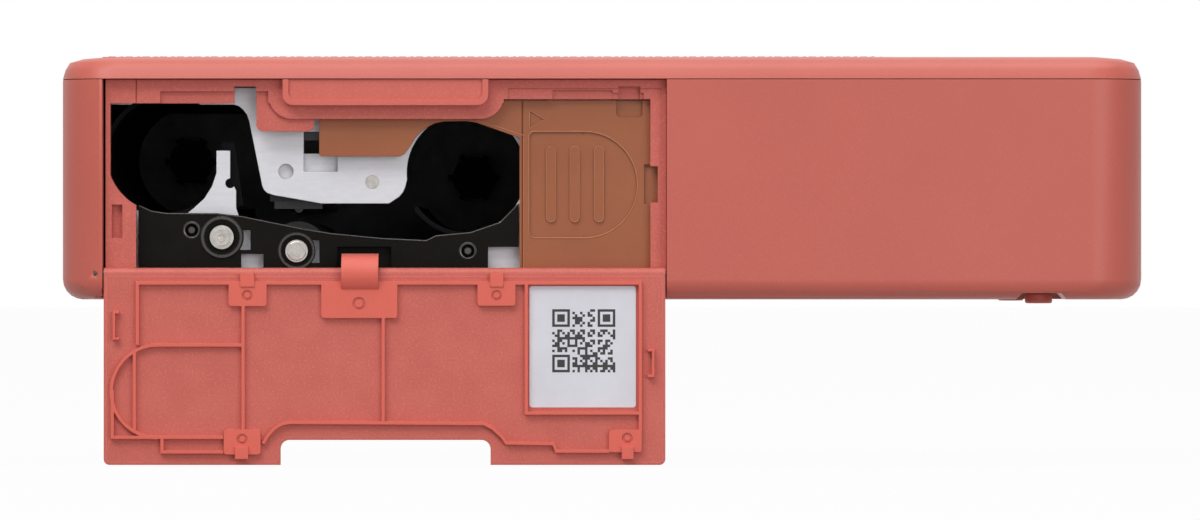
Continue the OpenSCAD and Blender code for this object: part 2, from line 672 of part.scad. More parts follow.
module cross_brace() in_bay() color(metal) {
    block([-60, plate_back, win_z1 + 0.8], [-12, far_in, win_z1 + 1.6]);
    block([-41, plate_back + 0.1, 21.4], [-34, plate_back + 0.9, win_z1 + 0.9]);
}

module head_side() difference() {
    union() {
        polygon([[-43.8, 15.2], [-36.5, 14], [-30, 14], [-30, 17.9], [-34.2, 19.6], [-41, 19.6], [-43.8,
            18.2]]);
        translate(pivot) circle(r = 2.15);
    }
    translate(pivot) circle(r = pivot_r + run_c);
}
module head_arm() in_bay() color(metal) {
    xz(plate_back + 0.2, plate_back + 1.2) head_side();
    xz(far_in - 1.2, far_in - 0.2) head_side();
    block([-43.8, plate_back + 1.2 - eps, 16.8], [-36.5, far_in - 1.2 + eps, 18.2]);
}
module thermal_head() in_bay() color([0.35, 0.35, 0.33]) {
    block([-44, head_y[0], 12.2], [-37.5, head_y[1], 13.2]);
    bar_y([platen[0], 12.3], 0.6, head_y[0] + 1.4, head_y[1] - 1.4);
}
module heat_sink() in_bay() color(metal) {
    block([-44.6, head_y[0], 13.2], [-36.9, head_y[1], 15.4]);
    for (i = [0:6]) block([-44.6 + i * 1.15, head_y[0], 15.4 - eps], [-44 + i * 1.15, head_y[1], 16.8]);
}
module head_pivot() in_bay() color(metal) bar_y(pivot, pivot_r, frame_back, far_back);

module capstan_shaft() in_bay() color(metal) difference() {
    bar_y(capstan, capstan_r, engine_in - 0.3, gear_y + gear_w + 0.5);
    bar_y(capstan, 0.5, engine_in - 1, engine_in + 0.6);
}
module capstan_gear() in_bay() color("ivory") gear(capstan, cap_teeth, 0, gear_y, capstan_r);
module platen_shaft() in_bay() color(metal) bar_y(platen, platen_shaft_r, engine_in - 0.2, far_back + 0.4);
module platen_sleeve() in_bay() color(black) difference() {
    bar_y(platen, platen_r, roller_y[0], roller_y[1]);
    bar_y(platen, platen_shaft_r, roller_y[0] - 1, roller_y[1] + 1);
}
module roller_bushes() in_bay() color([0.2, 0.2, 0.19]) for (b = [[capstan, capstan_r], [platen,
    platen_shaft_r]])
    for (y = [[engine_in, plate_back], [far_in, far_back]]) difference() {
        bar_y(b[0], b[1] + bush_t, y[0], y[1]);
        bar_y(b[0], b[1] + run_c, y[0] - 1, y[1] + 1);
    }
module pinch_roller() in_bay() color(metal) {
    bar_y(pinch, pinch_r, roller_y[0], roller_y[1]);
    bar_y(pinch, 0.5, plate_back + 0.2, far_in - 0.2);
}
module pinch_bearings() in_bay() color(black) for (y = [[plate_back, plate_back + 2], [far_in - 2,
    far_in]]) difference() {
    block([pinch[0] - 1.3, y[0], capstan[1] + capstan_r + 0.2], [pinch[0] + 1.3, y[1], pinch[1] + 1.6]);
    bar_y(pinch, 0.5 + run_c, y[0] - 1, y[1] + 1);
}
module pickup_shaft() in_bay() color(metal) bar_y(pickup, 1, frame_back - 0.5, far_back + 0.5);
module pickup_roller() in_bay() color(black) difference() {
    bar_y(pickup, pickup_r, -14, 4);
    bar_y(pickup, 1, -15, 5);
}

// ---- drive ----

module drive_motor() in_bay() color(metal) {
    difference() {
        bar_y(pinion, 6, far_in - 20, far_in);
        for (dx = [-4, 4]) bar_y(pinion + [dx, 0], 0.7 + screw_c, far_in - 3, far_in + 1);
    }
    bar_y(pinion, 1.5, far_in - eps, far_in + 0.8);
}
module motor_screws() in_bay() color(metal) for (dx = [-4, 4]) {
    bar_y(pinion + [dx, 0], 0.7, far_in - 2.8, far_back);
    bar_y(pinion + [dx, 0], 1.2, far_back, far_back + 0.5);
}
module motor_pinion() in_bay() color("ivory") {
    translate([pinion[0], 0, pinion[1]]) xz(gear_y, gear_y + gear_w) gear_shape(pinion_teeth, turn_p);
    bar_y(pinion, 0.7, far_in + 0.9, gear_y + eps);
}
module idler_gear_a() in_bay() color("ivory") gear(idler_a, idler_teeth, turn_a, gear_y, 1.2 + run_c);
module idler_gear_b() in_bay() color("ivory") gear(idler_b, idler_teeth, turn_b, gear_y, 1.2 + run_c);
module idler_gear_c() in_bay() color("ivory") gear(idler_c, idler_teeth, turn_c, gear_y, 1.2 + run_c);
module idler_pins() in_bay() color(metal) for (p = [idler_a, idler_b, idler_c]) {
    bar_y(p, 1.2, far_in, gear_y + gear_w + 0.2);
    bar_y(p, 1.8, gear_y + gear_w + 0.2, gear_y + gear_w + 0.7);
}
module hub(p, y1) {
    bar_y(p, 3, far_in - 8, far_in - 0.8);
    bar_y(p, gear_bore, far_in - 0.8 - eps, y1);
    for (a = [0:60:300]) translate([p[0], 0, p[1]]) rotate([0, a, 0]) block([2.6, far_in - 8, -0.4], [3.6,
        far_in - 2, 0.4]);
}
module takeup_hub() in_bay() color(black) hub(spool_a, gear_y + gear_w + 0.4);
module takeup_gear() in_bay() color("ivory") gear(spool_a, take_teeth, turn_t, gear_y, gear_bore);
module supply_hub() in_bay() color(black) hub(spool_b, far_back + 0.3);
module supply_brake() in_bay() color([0.5, 0.5, 0.48]) difference() {
    bar_y(spool_b, 2.8, far_in - 0.75, far_in);
    bar_y(spool_b, gear_bore + run_c, far_in - 1, far_in + 1);
}

// ---- eject lever ----

module lever_shape() {
    tongue([-37.7, 19.2], [-26.9, 26.2], 0.4);
    polygon([[-27.5, 19.2], [-27.5, 26.2], [-14.2, 26.2], [-13.6, win_z2 - 0.1], [-10.5, win_z2 - 0.1],
        [-10.5, 21.5], [-11.2, 21.85], [-16.65, 23.75], [-18, 23.95], [-21, 23.9], [-22.2, 23.65],
        [-23.3, 23.05], [-24.2, 22.35], [-24.9, 21.55], [-25.6, 20.4], [-26.3, 19.5], [-26.9, 19.2]]);
    rect([-10.8, win_z0 + 0.1], [win_x1 + 3, win_z2 - 0.1]);
}
module thumb_pad() {
    tongue([-9.55, 8.25], [-2.1, 20], 0.7);
    translate([0, 30.8]) mirror([0, 1]) tongue([-9.55, 8.25], [-2.1, 20], 0.7);
    intersection() {
        translate([-2.1, 15.4]) circle(r = 7.15);
        rect([-2.2, 5], [8, 25]);
    }
}
module eject_lever() in_bay() color(brown) {
    difference() {
        xz(lever_y, lever_back) lever_shape();
        xz(lever_y - 1, lever_y + 0.3) thumb_pad();
        xz(lever_y - 1, lever_y + 0.25) polygon([[-9.45, 22.95], [-9.45, 25.4], [-7.4, 24.15]]);
        xz(lever_y - 1, lever_y + 0.6) pill([door_x1 - 6.55, 24.45], [door_x1 - 3.05, win_z2 + 1], 0.6);
        xz(lever_y - 1, lever_y + 0.2) rect([-10.5, 0], [-10.35, 30]);
        xz(lever_y - 1, lever_y + 0.5) rect([door_x1 - 2.8, 12.8], [door_x1 - 0.55, 18.1]);
    }
    for (x = [-6.6, -3.4, -0.15]) xz(lever_y, lever_y + 0.4) pill([x - 0.65, 10.4], [x + 0.65, 20.55], 0.6);
}

// ---- paper guide, battery and boards ----

module paper_guide() color(black) {
    block([bay_x - 34, guide_y[0], paper_z[0] - 0.8], [guide_x1, guide_y[1], paper_z[0]]);
    for (y = [guide_y[0], guide_y[1] - 1.2]) {
        block([bay_x - 34, y, floor_z + 1.2], [bay_x - 11.5, y + 1.2, paper_z[0] + 0.8]);
        block([bay_x - 10, y, floor_z], [guide_x1, y + 1.2, paper_z[1]]);
        block([bay_x - 12, y, paper_z[0] - 0.8], [bay_x - 9, y + 1.2, paper_z[0] + 0.8]);
    }
}
module guide_cover() color(black) block([bay_x - 7, guide_y[0], paper_z[1]], [guide_x1 - 2, guide_y[1],
    paper_z[1] + 0.8]);
module battery() color([0.25, 0.27, 0.3])
    translate([battery_at[0], battery_at[1], paper_z[1] + 0.8]) cube(battery_size);
module main_board() color([0.1, 0.3, 0.2]) difference() {
    block([board_x[0], board_y[0], board_z], [board_x[1], board_y[1], board_z + board_t]);
    for (x = post_x) for (y = post_y) translate([x, y, board_z - 1]) cylinder(r = screw_r + screw_c, h = 4);
}
module board_parts() color(black) {
    z = board_z + board_t;
    front = board_x[0];
    rear = board_x[1];
    for (p = [[front + 10.8, -30, 12, 12, 1.2], [rear - 23.6, -32, 9, 9, 1], [front + 10.8, -8, 8, 6, 1],
        [rear - 25.6, -10, 10, 4, 2.4], [front + 8.8, 14, 5, 14, 3], [rear - 27.6, 12, 7, 7, 2.6],
        [rear - 13.6, -12, 6, 10, 1], [front + 10.8, 34, 12, 3, 2.2]])
        translate([p[0], p[1], z]) cube([p[2], p[3], p[4]]);
    for (p = [[rear - 15.6, 8], [rear - 15.6, 16], [rear - 9.6, 36]]) translate([p[0], p[1], z])
        cylinder(r = 2.4, h = 4);
}
module usb_socket() color(metal) translate([board_x[1] - 2, usb_y, board_z + board_t + 1.6]) rotate([90,
    0, 90]) {
    linear_extrude(rear_x - board_x[1] + 1.6) difference() {
        pill([-4.45, -1.6], [4.45, 1.6], 1.5);
        pill([-4.15, -1.3], [4.15, 1.3], 1.2);
    }
    linear_extrude(1) pill([-4.4, -1.55], [4.4, 1.55], 1.4);
    linear_extrude(5) rect([-3.3, -0.35], [3.3, 0.35]);
}
module board_screws() color(metal) for (x = post_x) for (y = post_y) translate([x, y, 0]) {
    translate([0, 0, board_z - 5.5]) cylinder(r = screw_r, h = 5.5 + board_t);
    translate([0, 0, board_z + board_t]) cylinder(r = 1.8, h = 0.8);
}
module button_board() color([0.1, 0.3, 0.2])
    block([button_at[0] - 8, lens_at[1] - 4, button_board_z], [button_at[0] + 8, button_at[1] + 4,
        button_board_z + board_t]);
module power_switch() color(metal) translate([button_at[0], button_at[1], button_board_z + board_t]) {
    translate([-2.3, -2.3, 0]) cube([4.6, 4.6, switch_h - 0.4]);
    cylinder(r = 1.5, h = switch_h);
}
module power_button() color([0.86, 0.86, 0.85]) translate([button_at[0], button_at[1], 0]) {
    z0 = button_board_z + board_t + switch_h + button_travel + 0.02;
    translate([0, 0, z0]) cylinder(r = button_r + 0.8, h = roof_z - z0 - 0.05);
    translate([0, 0, z0]) cylinder(r = button_r, h = body_h - z0 - 0.05);
}
module status_lens() color("white") translate([lens_at[0], lens_at[1], button_board_z + board_t])
    cylinder(r = 0.8, h = body_h - button_board_z - board_t);

top_cover();
bottom_case();
bay_frame();
ink_door();
door_label();
door_pins();
front_flap();
flap_pins();
feet();
case_screws();
power_button();
status_lens();
button_board();
power_switch();
near_plate();
far_plate();
lower_frame();
cassette_guide();
ribbon_bracket();
cross_brace();
head_arm();
thermal_head();
heat_sink();
head_pivot();
capstan_shaft();
capstan_gear();
platen_shaft();
platen_sleeve();
roller_bushes();
pinch_roller();
pinch_bearings();
pickup_shaft();
pickup_roller();
drive_motor();
motor_screws();
motor_pinion();
idler_gear_a();
idler_gear_b();
idler_gear_c();
idler_pins();
takeup_hub();
takeup_gear();
supply_hub();
supply_brake();
eject_lever();
paper_guide();
guide_cover();
battery();
main_board();
board_parts();
usb_socket();
board_screws();
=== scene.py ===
import math

import bmesh
import bpy
import numpy as np
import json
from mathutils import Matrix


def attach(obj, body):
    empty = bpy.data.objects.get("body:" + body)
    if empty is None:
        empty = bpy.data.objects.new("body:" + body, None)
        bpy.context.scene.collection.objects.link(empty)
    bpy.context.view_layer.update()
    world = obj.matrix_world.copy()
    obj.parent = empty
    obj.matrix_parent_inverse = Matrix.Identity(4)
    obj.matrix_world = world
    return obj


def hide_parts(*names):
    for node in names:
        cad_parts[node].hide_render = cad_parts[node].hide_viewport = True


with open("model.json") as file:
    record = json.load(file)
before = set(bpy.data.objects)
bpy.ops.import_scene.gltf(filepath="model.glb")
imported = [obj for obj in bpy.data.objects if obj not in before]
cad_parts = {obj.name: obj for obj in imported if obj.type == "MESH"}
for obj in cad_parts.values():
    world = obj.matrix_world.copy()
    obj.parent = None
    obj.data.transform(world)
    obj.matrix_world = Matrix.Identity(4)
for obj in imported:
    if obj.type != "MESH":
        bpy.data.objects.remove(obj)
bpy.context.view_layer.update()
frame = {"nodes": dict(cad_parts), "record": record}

# The studio: a white table under the hanging door, soft boxes above to the left,
# overhead and low in front, and a long lens level with the body's side.
SIDE_Y = -0.0511
VIEW_WIDTH = 0.16066
VIEW_Z = 0.00529
LENS_DISTANCE = 1.2
FLOOR_Z = -0.0225
TABLE_HALF = 4.0
TABLE_GREY = 0.35
TABLE_WHITE_SHARE = 0.97
AIR_STRENGTH = 0.26

cam = bpy.data.cameras.new("studio_camera")
cam.sensor_width = 36.0
cam.lens = cam.sensor_width * LENS_DISTANCE / VIEW_WIDTH
cam.clip_end = 20.0
camera = bpy.data.objects.new("studio_camera", cam)
camera.location = (0.0, SIDE_Y - LENS_DISTANCE, VIEW_Z)
camera.rotation_euler = (math.pi / 2, 0.0, 0.0)
bpy.context.scene.collection.objects.link(camera)
bpy.context.scene.camera = camera
bpy.context.scene.view_settings.view_transform = "Standard"


def soft_box(name, place, aim, size, watts):
    """A square area lamp at place, turned so that it shines at aim."""
    lamp = bpy.data.lights.new(name, "AREA")
    lamp.shape = "RECTANGLE"
    lamp.size, lamp.size_y = size
    lamp.energy = watts
    obj = bpy.data.objects.new(name, lamp)
    obj.location = place
    ray = np.array(aim) - np.array(place)
    yaw = math.atan2(ray[0], -ray[1])
    tilt = math.atan2(math.hypot(ray[0], ray[1]), -ray[2])
    obj.rotation_euler = (tilt, 0.0, yaw + math.pi)
    bpy.context.scene.collection.objects.link(obj)


soft_box("key_box", (-0.35, -0.75, 0.75), (0, -0.05, 0.01), (0.7, 0.5), 6.0)
soft_box("top_box", (0.1, -0.1, 0.9), (0, 0, 0.02), (0.9, 0.7), 4.6)
soft_box("front_box", (0.5, -1.1, 0.15), (0, -0.05, 0), (0.6, 0.6), 4.2)


def white_to_camera(tree, other, white_share):
    """Mixes a shader with plain white that only camera and glossy rays see, by the given share."""
    path = tree.nodes.new("ShaderNodeLightPath")
    either = tree.nodes.new("ShaderNodeMath")
    either.operation = "MAXIMUM"
    tree.links.new(path.outputs["Is Camera Ray"], either.inputs[0])
    tree.links.new(path.outputs["Is Glossy Ray"], either.inputs[1])
    share = tree.nodes.new("ShaderNodeMath")
    share.operation = "MULTIPLY"
    share.inputs[1].default_value = white_share
    tree.links.new(either.outputs[0], share.inputs[0])
    is_air = other.bl_idname == "ShaderNodeBackground"
    white = tree.nodes.new("ShaderNodeBackground" if is_air else "ShaderNodeEmission")
    white.inputs["Color"].default_value = (1, 1, 1, 1)
    white.inputs["Strength"].default_value = 1.0
    mix = tree.nodes.new("ShaderNodeMixShader")
    tree.links.new(share.outputs[0], mix.inputs[0])
    tree.links.new(other.outputs[0], mix.inputs[1])
    tree.links.new(white.outputs[0], mix.inputs[2])
    return mix


world = bpy.data.worlds.new("studio_air")
world.use_nodes = True
air = world.node_tree
sky = air.nodes["Background"]
sky.inputs["Color"].default_value = (1, 1, 1, 1)
sky.inputs["Strength"].default_value = AIR_STRENGTH
air.links.new(white_to_camera(air, sky, 1.0).outputs[0], air.nodes["World Output"].inputs[0])
bpy.context.scene.world = world

table = bpy.data.meshes.new("white_table")
corners = [(-1, -1), (1, -1), (1, 1), (-1, 1)]
table.from_pydata([(x * TABLE_HALF, y * TABLE_HALF, FLOOR_Z) for x, y in corners], [], [(0, 1, 2, 3)])
floor = bpy.data.objects.new("white_table", table)
bpy.context.scene.collection.objects.link(floor)
paint = bpy.data.materials.new("table_white")
paint.use_nodes = True
coat = paint.node_tree
matt = coat.nodes["Principled BSDF"]
matt.inputs["Base Color"].default_value = (TABLE_GREY, TABLE_GREY, TABLE_GREY, 1)
matt.inputs["Roughness"].default_value = 0.9
shown = white_to_camera(coat, matt, TABLE_WHITE_SHARE)
coat.links.new(shown.outputs[0], coat.nodes["Material Output"].inputs[0])
table.materials.append(paint)

# How a surface is made: grain, flecks and drift of tone from two noises, and
# edges that are rounded in the shading alone where a radius is given.
BUMP_DISTANCE = 0.0002
FLECK_START, FLECK_FULL = 0.58, 0.72
NOISE_LOW, NOISE_HIGH = 0.3, 0.7


def new_group(name, inputs, outputs):
    """An empty shader group: inputs and outputs as (name, socket type, value)."""
    group = bpy.data.node_groups.new(name, "ShaderNodeTree")
    for label, kind, value in inputs:
        socket = group.interface.new_socket(label, in_out="INPUT", socket_type=kind)
        if value is not None:
            socket.default_value = value
    for label, kind in outputs:
        group.interface.new_socket(label, in_out="OUTPUT", socket_type=kind)
    return group, group.nodes.new("NodeGroupInput"), group.nodes.new("NodeGroupOutput")


def grain_group():
    """Fine grain as height, a slow drift of tone, and sparse bright flecks where the grain peaks."""
    group, into, out = new_group(
        "moulded_grain",
        [("Place", "NodeSocketVector", None), ("Grain", "NodeSocketFloat", 4000.0),
         ("Drift", "NodeSocketFloat", 60.0), ("Stretch", "NodeSocketVector", (1.0, 1.0, 1.0))],
        [("Height", "NodeSocketFloat"), ("Tone", "NodeSocketFloat"), ("Fleck", "NodeSocketFloat")])
    scaled = group.nodes.new("ShaderNodeVectorMath")
    scaled.operation = "MULTIPLY"
    group.links.new(into.outputs["Place"], scaled.inputs[0])
    group.links.new(into.outputs["Stretch"], scaled.inputs[1])
    fine = group.nodes.new("ShaderNodeTexNoise")
    fine.inputs["Detail"].default_value = 2.0
    slow = group.nodes.new("ShaderNodeTexNoise")
    slow.inputs["Detail"].default_value = 3.0
    for noise, rate in ((fine, "Grain"), (slow, "Drift")):
        group.links.new(scaled.outputs[0], noise.inputs["Vector"])
        group.links.new(into.outputs[rate], noise.inputs["Scale"])
    fleck = group.nodes.new("ShaderNodeMapRange")
    fleck.inputs["From Min"].default_value = FLECK_START
    fleck.inputs["From Max"].default_value = FLECK_FULL
    group.links.new(fine.outputs["Fac"], fleck.inputs["Value"])
    group.links.new(fine.outputs["Fac"], out.inputs["Height"])
    group.links.new(slow.outputs["Fac"], out.inputs["Tone"])
    group.links.new(fleck.outputs[0], out.inputs["Fleck"])
    return group


GRAIN = grain_group()


def finish(name, dark, light, rough, grain=4000.0, depth=0.05, drift=60.0, metal=0.0,
           stretch=(1, 1, 1), fleck=0.0, specular=0.5, fine_mix=0.0, edge=0.0):
    """A surface that drifts from dark to light, with grain as bump and in its roughness. Edge is a radius."""
    mat = bpy.data.materials.new(name)
    mat.use_nodes = True
    tree = mat.node_tree
    shader = tree.nodes["Principled BSDF"]
    place = tree.nodes.new("ShaderNodeTexCoord")
    grains = tree.nodes.new("ShaderNodeGroup")
    grains.node_tree = GRAIN
    grains.inputs["Grain"].default_value = grain
    grains.inputs["Drift"].default_value = drift
    grains.inputs["Stretch"].default_value = stretch
    tree.links.new(place.outputs["Object"], grains.inputs["Place"])
    spread = tree.nodes.new("ShaderNodeMapRange")
    spread.inputs["From Min"].default_value = NOISE_LOW
    spread.inputs["From Max"].default_value = NOISE_HIGH
    blend = tree.nodes.new("ShaderNodeMix")
    blend.data_type = "FLOAT"
    blend.inputs["Factor"].default_value = fine_mix
    tree.links.new(grains.outputs["Tone"], blend.inputs["A"])
    tree.links.new(grains.outputs["Height"], blend.inputs["B"])
    tree.links.new(blend.outputs["Result"], spread.inputs["Value"])
    colour = tree.nodes.new("ShaderNodeMix")
    colour.data_type = "RGBA"
    colour.inputs["A"].default_value = (*dark, 1)
    colour.inputs["B"].default_value = (*light, 1)
    tree.links.new(spread.outputs[0], colour.inputs["Factor"])
    bright = tree.nodes.new("ShaderNodeMix")
    bright.data_type = "RGBA"
    bright.inputs["B"].default_value = (*[min(1.0, c * 1.35 + 0.06) for c in light], 1)
    amount = tree.nodes.new("ShaderNodeMath")
    amount.operation = "MULTIPLY"
    amount.inputs[1].default_value = fleck
    tree.links.new(grains.outputs["Fleck"], amount.inputs[0])
    tree.links.new(amount.outputs[0], bright.inputs["Factor"])
    tree.links.new(colour.outputs["Result"], bright.inputs["A"])
    tree.links.new(bright.outputs["Result"], shader.inputs["Base Color"])
    worn = tree.nodes.new("ShaderNodeMapRange")
    worn.inputs["From Min"].default_value = NOISE_LOW
    worn.inputs["From Max"].default_value = NOISE_HIGH
    worn.inputs["To Min"].default_value = rough * 0.88
    worn.inputs["To Max"].default_value = min(1.0, rough * 1.12)
    tree.links.new(grains.outputs["Height"], worn.inputs["Value"])
    tree.links.new(worn.outputs[0], shader.inputs["Roughness"])
    bump = tree.nodes.new("ShaderNodeBump")
    bump.inputs["Strength"].default_value = depth
    bump.inputs["Distance"].default_value = BUMP_DISTANCE
    tree.links.new(grains.outputs["Height"], bump.inputs["Height"])
    if edge > 0:
        rounded = tree.nodes.new("ShaderNodeBevel")
        rounded.samples = 4
        rounded.inputs["Radius"].default_value = edge
        tree.links.new(rounded.outputs[0], bump.inputs["Normal"])
    tree.links.new(bump.outputs[0], shader.inputs["Normal"])
    shader.inputs["Metallic"].default_value = metal
    shader.inputs["Specular IOR Level"].default_value = specular
    return mat


def raised_tint(material, low, high, tint, share):
    """Mixes a tint into the base colour along Y, from none at the plane low to share at the plane high."""
    tree = material.node_tree
    shader = tree.nodes["Principled BSDF"]
    plain = shader.inputs["Base Color"].links[0].from_socket
    place = tree.nodes.new("ShaderNodeTexCoord")
    parts = tree.nodes.new("ShaderNodeSeparateXYZ")
    tree.links.new(place.outputs["Object"], parts.inputs[0])
    mask = tree.nodes.new("ShaderNodeMapRange")
    mask.inputs["From Min"].default_value = low
    mask.inputs["From Max"].default_value = high
    mask.inputs["To Max"].default_value = share
    tree.links.new(parts.outputs["Y"], mask.inputs["Value"])
    mix = tree.nodes.new("ShaderNodeMix")
    mix.data_type = "RGBA"
    mix.inputs["B"].default_value = (*tint, 1)
    tree.links.new(mask.outputs[0], mix.inputs["Factor"])
    tree.links.new(plain, mix.inputs["A"])
    tree.links.new(mix.outputs["Result"], shader.inputs["Base Color"])


# How a piece is made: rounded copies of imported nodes, turned rings, and round
# beads along a path. Each is tied to its body and takes a material slot.
BODY_OF = {node: body for body, nodes in frame["record"]["behaviour"]["bodies"].items() for node in nodes}
MERGE_DISTANCE = 2e-6


def add_piece(name, mesh, body, material, smooth=True, sharp=math.radians(32)):
    """Links a finished mesh, gives it its material and ties it to its body."""
    obj = bpy.data.objects.new(name, mesh)
    bpy.context.scene.collection.objects.link(obj)
    mesh.materials.clear()
    mesh.materials.append(material)
    mesh.polygons.foreach_set("use_smooth", np.full(len(mesh.polygons), smooth))
    if smooth:
        mesh.set_sharp_from_angle(angle=sharp)
    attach(obj, body)
    return obj


def softened(node, material, radius=0.0, reshape=None, smooth=True):
    """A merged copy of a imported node, which it stands for, with corners rounded where a radius is given."""
    work = bmesh.new()
    work.from_mesh(frame["nodes"][node].data)
    bmesh.ops.remove_doubles(work, verts=work.verts, dist=MERGE_DISTANCE)
    bmesh.ops.dissolve_degenerate(work, dist=1e-6, edges=work.edges)
    if radius > 0:
        bmesh.ops.dissolve_limit(work, angle_limit=math.radians(0.6), verts=work.verts, edges=work.edges)
    mesh = bpy.data.meshes.new(node + "_moulding")
    work.to_mesh(mesh)
    work.free()
    if reshape:
        points = np.empty(len(mesh.vertices) * 3, np.float32)
        mesh.vertices.foreach_get("co", points)
        mesh.vertices.foreach_set("co", reshape(points.reshape(-1, 3)).ravel())
    piece = add_piece(node + "_moulding", mesh, BODY_OF[node], material, smooth)
    if radius > 0:
        bevel = piece.modifiers.new("edge_radius", "BEVEL")
        bevel.width = radius
        bevel.segments = 2
        bevel.limit_method = "ANGLE"
        bevel.angle_limit = math.radians(38)
        bevel.use_clamp_overlap = False
        bevel.loop_slide = False
        bevel.harden_normals = False
        bevel.miter_outer = "MITER_ARC"
    if smooth:
        normals = piece.modifiers.new("flat_faces", "WEIGHTED_NORMAL")
        normals.keep_sharp = True
    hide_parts(node)
    return piece


def turned(name, centre, profile, body, material, sides=48):
    """A surface of revolution about Y: profile as (radius, y), from the axis and back to it."""
    turn = np.linspace(0, 2 * np.pi, sides, endpoint=False)
    rings = [np.stack([centre[0] + r * np.cos(turn), np.full(sides, y), centre[1] + r * np.sin(turn)], -1)
             for r, y in profile]
    mesh = bpy.data.meshes.new(name)
    k = np.arange(sides)
    faces = []
    for a in range(len(profile)):
        b = (a + 1) % len(profile)
        near, far = a * sides, b * sides
        faces.append(np.stack([near + k, far + k, far + (k + 1) % sides, near + (k + 1) % sides], -1))
    mesh.from_pydata(np.concatenate(rings).tolist(), [], np.concatenate(faces).tolist())
    work = bmesh.new()
    work.from_mesh(mesh)
    bmesh.ops.remove_doubles(work, verts=work.verts, dist=1e-8)
    bmesh.ops.recalc_face_normals(work, faces=work.faces)
    work.to_mesh(mesh)
    work.free()
    return add_piece(name, mesh, body, material, sharp=math.radians(25))


def bead(name, path, y, radius, body, material, closed=False, sides=8):
    """A thin round bead along a path of (x, z) points at the depth y, mitred at its bends."""
    path = np.array(path, float)
    if closed:
        before, after = path - np.roll(path, 1, 0), np.roll(path, -1, 0) - path
    else:
        step = np.diff(path, axis=0)
        before, after = np.vstack([step[:1], step]), np.vstack([step, step[-1:]])
    before /= np.linalg.norm(before, axis=1)[:, None]
    after /= np.linalg.norm(after, axis=1)[:, None]
    side = np.stack([-before[:, 1] - after[:, 1], before[:, 0] + after[:, 0]], -1)
    side *= (2 / (side ** 2).sum(1))[:, None]
    turn = np.linspace(0, 2 * np.pi, sides, endpoint=False)
    flat = path[:, None] + radius * np.cos(turn)[None, :, None] * side[:, None]
    depth = np.broadcast_to(y + radius * np.sin(turn), flat.shape[:2])
    points = np.stack([flat[..., 0], depth, flat[..., 1]], -1).reshape(-1, 3)
    count = len(path)
    faces = []
    for i in range(count if closed else count - 1):
        j = (i + 1) % count
        faces += [(i * sides + k, i * sides + (k + 1) % sides, j * sides + (k + 1) % sides, j * sides + k)
                  for k in range(sides)]
    if not closed:
        faces += [tuple(range(sides)), tuple(range((count - 1) * sides, count * sides))[::-1]]
    mesh = bpy.data.meshes.new(name)
    mesh.from_pydata(points.tolist(), [], faces)
    work = bmesh.new()
    work.from_mesh(mesh)
    bmesh.ops.recalc_face_normals(work, faces=work.faces)
    work.to_mesh(mesh)
    work.free()
    return add_piece(name, mesh, body, material, sharp=math.radians(60))


def arc(centre, radius, start, stop, steps=8):
    """Points along an arc about centre, the angles in degrees."""
    turn = np.radians(np.linspace(start, stop, steps + 1))
    return [(centre[0] + radius * math.cos(a), centre[1] + radius * math.sin(a)) for a in turn]


def millimetres(points):
    """Points given in millimetres, in metres."""
    return np.array(points, float) * 0.001


def dress(material, *nodes):
    """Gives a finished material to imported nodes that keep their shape."""
    for node in nodes:
        obj = frame["nodes"][node]
        obj.data.materials.clear()
        obj.data.materials.append(material)


# The coral mouldings: cover, tub, bay frame, door, flap and feet, in one pearly
# plastic with a spark-eroded grain, coarser in the bay and on the door's inside.
# The door's ribs carry a painted highlight, tinted lighter towards their tops, and its outer face has the
# shell's tone.
RIB_FOOT_Y, RIB_TOP_Y = -0.0515, -0.0519
OUTER_START_Y, OUTER_FACE_Y = -0.0500, -0.0497
LEDGE_Y, TAB_Y = -0.0500, -0.0510
INNER_EDGE = 0.00014
CORAL = finish("coral_shell", (0.50, 0.100, 0.072), (0.56, 0.117, 0.085), 0.42, grain=5200, depth=0.07,
               drift=45, fleck=0.10, fine_mix=0.35)
INNER_DARK, INNER_LIGHT = (0.52, 0.102, 0.075), (0.62, 0.137, 0.106)
CORAL_INNER = finish("coral_inner", INNER_DARK, INNER_LIGHT, 0.5, grain=3600, depth=0.16, drift=300,
                     fleck=0.22, fine_mix=0.6, edge=INNER_EDGE)
CORAL_DOOR = finish("coral_door", INNER_DARK, INNER_LIGHT, 0.5, grain=3600, depth=0.12, drift=300, fleck=0.22,
                    fine_mix=0.6, edge=INNER_EDGE)
# Painted highlight: the door's ribs turn lighter towards their tops.
raised_tint(CORAL_DOOR, RIB_FOOT_Y, RIB_TOP_Y, (0.74, 0.125, 0.085), 0.8)
raised_tint(CORAL_DOOR, OUTER_START_Y, OUTER_FACE_Y, (0.53, 0.108, 0.078), 1.0)
# Painted highlight: the bay frame's ledge and tab turn lighter the further they stand out.
raised_tint(CORAL_INNER, LEDGE_Y, TAB_Y, (0.66, 0.135, 0.100), 0.6)
FIELD_TOP, SUNK_FIELD = 0.03266, 0.03261


def sink_field(points):
    """The cover's raised field is let down, because its own small pads stand there."""
    points[points[:, 2] > FIELD_TOP, 2] = SUNK_FIELD
    return points


softened("top_cover", CORAL, reshape=sink_field)
softened("bottom_case", CORAL)
softened("bay_frame", CORAL_INNER, smooth=False)
softened("ink_door", CORAL_DOOR, smooth=False)
softened("front_flap", CORAL, smooth=False)
